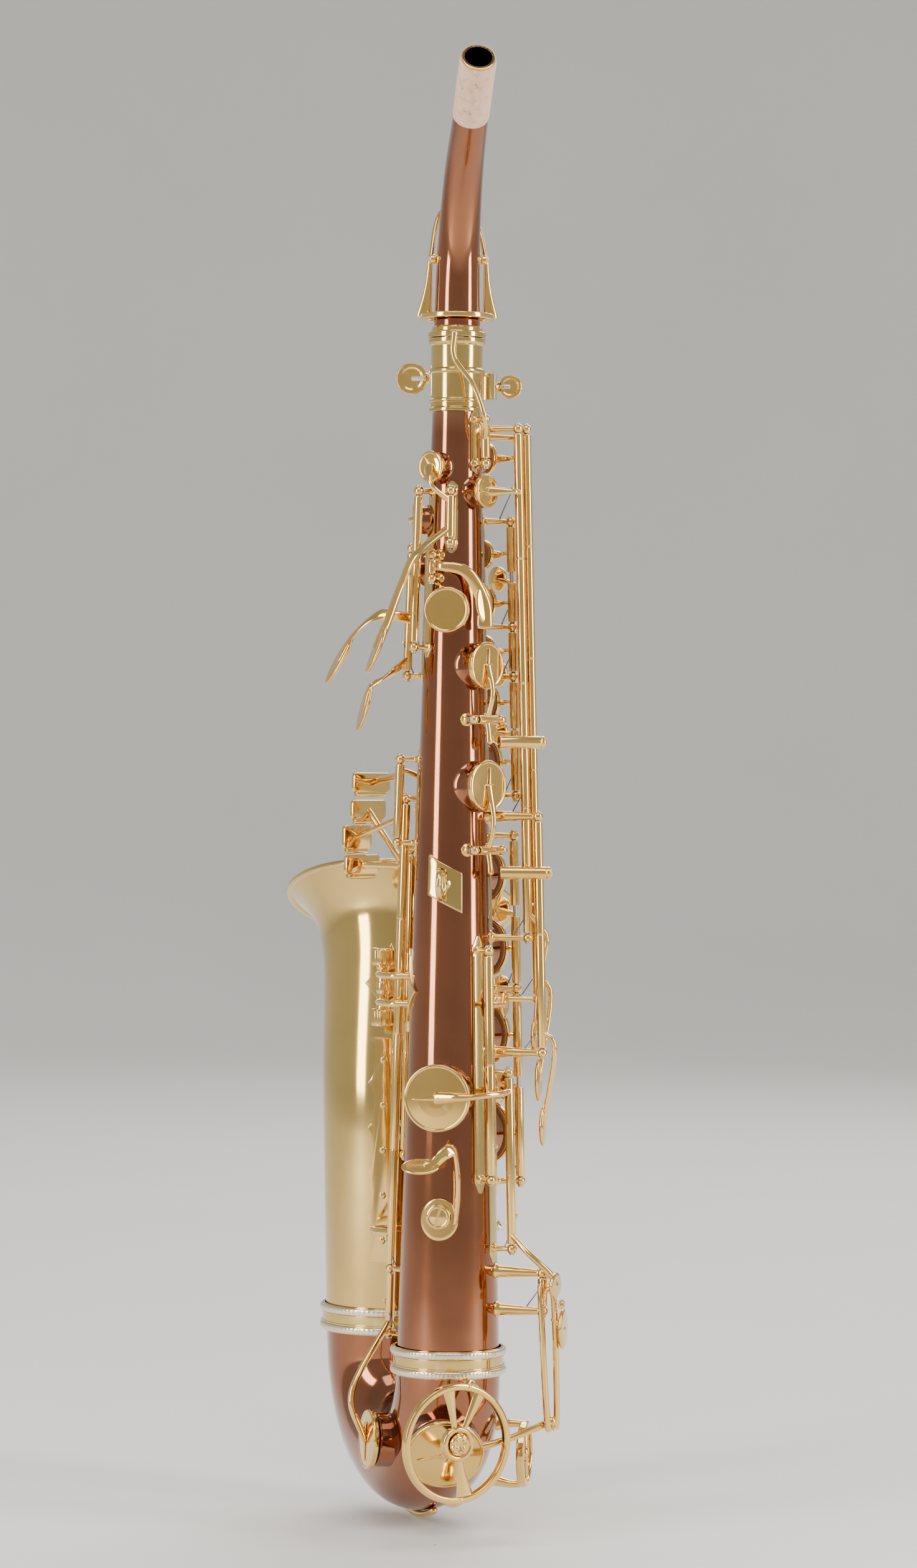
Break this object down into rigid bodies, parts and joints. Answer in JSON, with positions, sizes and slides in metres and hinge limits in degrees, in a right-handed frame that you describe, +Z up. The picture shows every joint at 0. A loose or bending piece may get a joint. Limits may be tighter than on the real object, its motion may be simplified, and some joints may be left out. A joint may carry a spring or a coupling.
{
  "type": "alto saxophone",
  "caption": "Curved alto saxophone: copper-coloured conical body, brass bell, swivelling neck with cork, and working gold-lacquered keys, guards and screws.",
  "frame": {"origin": "centre of the strap ring's eye, on the player's side of the body tube", "axes": "+Z up along the body tube, +X to the player's right, -Y towards the player"},
  "size_m": [0.1718, 0.2529, 0.734],
  "materials": {
    "copper": "lacquered copper-bronze",
    "brass": "lacquered yellow brass",
    "gold": "gold lacquer over brass",
    "cork": "natural cork",
    "felt": "dense felt and plastic"
  },
  "bodies": {
    "root": {"body_tube": "copper", "bow": "copper", "bell": "brass", "body_bow_ring": "brass", "bell_bow_ring": "brass", "neck_receiver": "brass", "strap_ring": "brass", "thumb_rest": "gold", "thumb_hook": "gold", "bell_brace": "brass", "bell_key_guard": "gold", "low_c_guard": "gold", "low_c_felt": "felt", "bow_side_guard": "gold", "bow_strip": "gold", "lyre_holder": "brass"},
    "c_key": {"c_key": "gold"},
    "b_key": {"b_key": "gold"},
    "bis_key": {"bis_key": "gold"},
    "a_key": {"a_key": "gold"},
    "g_key": {"g_key": "gold"},
    "fsharp_key": {"fsharp_key": "gold"},
    "f_key": {"f_key": "gold"},
    "e_key": {"e_key": "gold"},
    "d_key": {"d_key": "gold"},
    "palm_f": {"palm_f": "gold"},
    "palm_eflat": {"palm_eflat": "gold"},
    "palm_d": {"palm_d": "gold"},
    "side_e": {"side_e": "gold"},
    "high_fsharp": {"high_fsharp": "gold"},
    "side_c_rod": {"side_c_rod": "gold"},
    "side_c": {"side_c": "gold"},
    "side_bflat_rod": {"side_bflat_rod": "gold"},
    "side_bflat": {"side_bflat": "gold"},
    "fsharp_trill": {"fsharp_trill": "gold"},
    "low_eflat_key": {"low_eflat_key": "gold"},
    "octave_lever": {"octave_lever": "gold"},
    "octave_rocker": {"octave_rocker": "gold"},
    "low_c_key": {"low_c_key": "gold"},
    "low_csharp_key": {"low_csharp_key": "gold"},
    "low_b_key": {"low_b_key": "gold"},
    "low_bflat_key": {"low_bflat_key": "gold"},
    "gsharp_key": {"gsharp_key": "gold"},
    "neck": {"neck_tube": "copper", "neck_cork": "cork"},
    "neck_octave_key": {"neck_octave_key": "gold"},
    "neck_clamp_screw": {"neck_clamp_screw": "gold"},
    "lyre_screw": {"lyre_screw": "gold"},
    "hook_screw": {"hook_screw": "gold"},
    "roller_eflat": {"roller_eflat": "gold"}
  },
  "joints": [
    {"name": "c_key_hinge", "type": "hinge", "parent": "root", "child": "c_key", "pos_m": [0.02936, 0.04232, 0.044], "axis": [-0.0261, -0.0127, 0.9996], "range_deg": [0, 13.53]},
    {"name": "b_key_hinge", "type": "hinge", "parent": "root", "child": "b_key", "pos_m": [0.02936, 0.04232, 0.044], "axis": [-0.0261, -0.0127, 0.9996], "range_deg": [0, 13.2], "stiffness_Nm_per_rad": 0.04, "springref_deg": -14.32},
    {"name": "bis_key_hinge", "type": "hinge", "parent": "root", "child": "bis_key", "pos_m": [0.02936, 0.04232, 0.044], "axis": [-0.0261, -0.0127, 0.9996], "range_deg": [0, 12.9], "stiffness_Nm_per_rad": 0.04, "springref_deg": -14.32},
    {"name": "a_key_hinge", "type": "hinge", "parent": "root", "child": "a_key", "pos_m": [0.02936, 0.04232, 0.044], "axis": [-0.0261, -0.0127, 0.9996], "range_deg": [0, 12.59], "stiffness_Nm_per_rad": 0.04, "springref_deg": -14.32},
    {"name": "g_key_hinge", "type": "hinge", "parent": "root", "child": "g_key", "pos_m": [0.02936, 0.04232, 0.044], "axis": [-0.0261, -0.0127, 0.9996], "range_deg": [0, 12.25], "stiffness_Nm_per_rad": 0.04, "springref_deg": -14.32},
    {"name": "fsharp_key_hinge", "type": "hinge", "parent": "root", "child": "fsharp_key", "pos_m": [0.03365, 0.0416, -0.15], "axis": [-0.0269, -0.0109, 0.9996], "range_deg": [0, 11.52]},
    {"name": "f_key_hinge", "type": "hinge", "parent": "root", "child": "f_key", "pos_m": [0.03365, 0.0416, -0.15], "axis": [-0.0269, -0.0109, 0.9996], "range_deg": [0, 11.14], "stiffness_Nm_per_rad": 0.04, "springref_deg": -14.32},
    {"name": "e_key_hinge", "type": "hinge", "parent": "root", "child": "e_key", "pos_m": [0.03365, 0.0416, -0.15], "axis": [-0.0269, -0.0109, 0.9996], "range_deg": [0, 10.72], "stiffness_Nm_per_rad": 0.04, "springref_deg": -14.32},
    {"name": "d_key_hinge", "type": "hinge", "parent": "root", "child": "d_key", "pos_m": [0.03365, 0.0416, -0.15], "axis": [-0.0269, -0.0109, 0.9996], "range_deg": [0, 10.29], "stiffness_Nm_per_rad": 0.04, "springref_deg": -14.32},
    {"name": "palm_f_hinge", "type": "hinge", "parent": "root", "child": "palm_f", "pos_m": [0.00143, 0.00754, 0.17], "axis": [-0.002, 0.0289, 0.9996], "range_deg": [0, 15.6], "stiffness_Nm_per_rad": 0.04, "springref_deg": -14.32},
    {"name": "palm_eflat_hinge", "type": "hinge", "parent": "root", "child": "palm_eflat", "pos_m": [-0.01748, 0.01226, 0.118], "axis": [0.0215, 0.0194, 0.9996], "range_deg": [0, 17.99], "stiffness_Nm_per_rad": 0.04, "springref_deg": -14.32},
    {"name": "palm_d_hinge", "type": "hinge", "parent": "root", "child": "palm_d", "pos_m": [-0.02437, 0.0297, 0.104], "axis": [0.0289, -0.002, 0.9996], "range_deg": [0, 16.55], "stiffness_Nm_per_rad": 0.04, "springref_deg": -14.32},
    {"name": "side_e_hinge", "type": "hinge", "parent": "root", "child": "side_e", "pos_m": [0.0387, 0.02935, -0.027], "axis": [-0.029, -0.001, 0.9996], "range_deg": [0, 14.21], "stiffness_Nm_per_rad": 0.04, "springref_deg": -14.32},
    {"name": "high_fsharp_hinge", "type": "hinge", "parent": "root", "child": "high_fsharp", "pos_m": [0.03515, 0.03942, 0.034], "axis": [-0.0276, -0.009, 0.9996], "range_deg": [-12.28, 0], "stiffness_Nm_per_rad": 0.04, "springref_deg": 14.32},
    {"name": "side_c_rod_hinge", "type": "hinge", "parent": "root", "child": "side_c_rod", "pos_m": [0.04277, 0.03554, -0.058], "axis": [-0.0285, -0.005, 0.9996], "range_deg": [-4, 0], "stiffness_Nm_per_rad": 0.05, "springref_deg": 14.32},
    {"name": "side_c_hinge", "type": "hinge", "parent": "root", "child": "side_c", "pos_m": [0.01956, 0.01578, 0.082], "axis": [0.5299, 0.848, 0], "range_deg": [0, 5]},
    {"name": "side_bflat_rod_hinge", "type": "hinge", "parent": "root", "child": "side_bflat_rod", "pos_m": [0.04762, 0.023, -0.084], "axis": [-0.0288, 0.003, 0.9996], "range_deg": [-4, 0], "stiffness_Nm_per_rad": 0.05, "springref_deg": 14.32},
    {"name": "side_bflat_hinge", "type": "hinge", "parent": "root", "child": "side_bflat", "pos_m": [0.02093, 0.01441, 0.017], "axis": [0.5446, 0.8387, 0], "range_deg": [0, 5]},
    {"name": "fsharp_trill_hinge", "type": "hinge", "parent": "root", "child": "fsharp_trill", "pos_m": [0.02499, 0.00848, -0.147], "axis": [-0.0228, 0.0178, 0.9996], "range_deg": [0, 10.49], "stiffness_Nm_per_rad": 0.04, "springref_deg": -14.32},
    {"name": "low_eflat_key_hinge", "type": "hinge", "parent": "root", "child": "low_eflat_key", "pos_m": [0.03369, 0.0196, -0.182], "axis": [-0.0281, 0.007, 0.9996], "range_deg": [0, 6.13], "stiffness_Nm_per_rad": 0.04, "springref_deg": -14.32},
    {"name": "octave_lever_hinge", "type": "hinge", "parent": "root", "child": "octave_lever", "pos_m": [-0.00788, 0.0085, 0.152], "axis": [0.0109, 0.0269, 0.9996], "range_deg": [0, 4.54], "stiffness_Nm_per_rad": 0.03, "springref_deg": -14.32},
    {"name": "octave_rocker_hinge", "type": "hinge", "parent": "root", "child": "octave_rocker", "pos_m": [0.01719, 0.01807, 0.21], "axis": [-0.0251, 0.0145, 0.9996], "range_deg": [0, 5.99]},
    {"name": "low_c_key_hinge", "type": "hinge", "parent": "root", "child": "low_c_key", "pos_m": [0.04893, 0.02372, -0.213], "axis": [-0.0289, 0.0025, 0.9996], "range_deg": [-5.76, 0], "stiffness_Nm_per_rad": 0.08, "springref_deg": 14.32},
    {"name": "low_csharp_key_hinge", "type": "hinge", "parent": "root", "child": "low_csharp_key", "pos_m": [-0.03529, 0.05005, -0.23], "axis": [0.0246, -0.0154, 0.9996], "range_deg": [-13.79, 0], "stiffness_Nm_per_rad": 0.08, "springref_deg": 14.32},
    {"name": "low_b_key_hinge", "type": "hinge", "parent": "root", "child": "low_b_key", "pos_m": [-0.03246, 0.03855, -0.196], "axis": [0.0276, -0.009, 0.9996], "range_deg": [0, 3.65], "stiffness_Nm_per_rad": 0.08, "springref_deg": -14.32},
    {"name": "low_bflat_key_hinge", "type": "hinge", "parent": "root", "child": "low_bflat_key", "pos_m": [-0.02987, 0.05893, -0.14], "axis": [0.0201, -0.0209, 0.9996], "range_deg": [0, 5.01], "stiffness_Nm_per_rad": 0.08, "springref_deg": -14.32},
    {"name": "gsharp_key_hinge", "type": "hinge", "parent": "root", "child": "gsharp_key", "pos_m": [-0.02836, 0.028, 0.02], "axis": [0.029, 0, 0.9996], "range_deg": [0, 9.49], "stiffness_Nm_per_rad": 0.04, "springref_deg": -14.32},
    {"name": "neck_swivel", "type": "hinge", "parent": "root", "child": "neck", "pos_m": [0, 0.028, 0.273], "axis": [0, 0, 1], "range_deg": [-90, 90]},
    {"name": "neck_octave_hinge", "type": "hinge", "parent": "neck", "child": "neck_octave_key", "pos_m": [0.00094, 0.02501, 0.31252], "axis": [0.9537, 0.3007, 0], "range_deg": [-3, 0]},
    {"name": "neck_clamp_screw_turn", "type": "hinge", "parent": "root", "child": "neck_clamp_screw", "pos_m": [0, 0.045, 0.255], "axis": [1, 0, 0], "continuous": true},
    {"name": "lyre_screw_turn", "type": "hinge", "parent": "root", "child": "lyre_screw", "pos_m": [0.0145, 0.0415, 0.25], "axis": [1, 0, 0], "continuous": true},
    {"name": "hook_screw_turn", "type": "hinge", "parent": "root", "child": "hook_screw", "pos_m": [0, 0, -0.165], "axis": [0, -1, 0], "continuous": true},
    {"name": "roller_eflat_turn", "type": "hinge", "parent": "low_eflat_key", "child": "roller_eflat", "pos_m": [0.05956, 0.0175, -0.2084], "axis": [0.1736, -0.9848, 0], "continuous": true}
  ],
  "couplings": [
    {"joint": "side_c_hinge", "follows": "side_c_rod_hinge", "ratio": -1.25},
    {"joint": "side_bflat_hinge", "follows": "side_bflat_rod_hinge", "ratio": -1.25},
    {"joint": "octave_rocker_hinge", "follows": "octave_lever_hinge", "ratio": 1.293},
    {"joint": "fsharp_key_hinge", "follows": "f_key_hinge", "ratio": 1.0134},
    {"joint": "c_key_hinge", "follows": "b_key_hinge", "ratio": 1.0045},
    {"joint": "neck_octave_hinge", "follows": "octave_lever_hinge", "ratio": -0.6476}
  ]
}
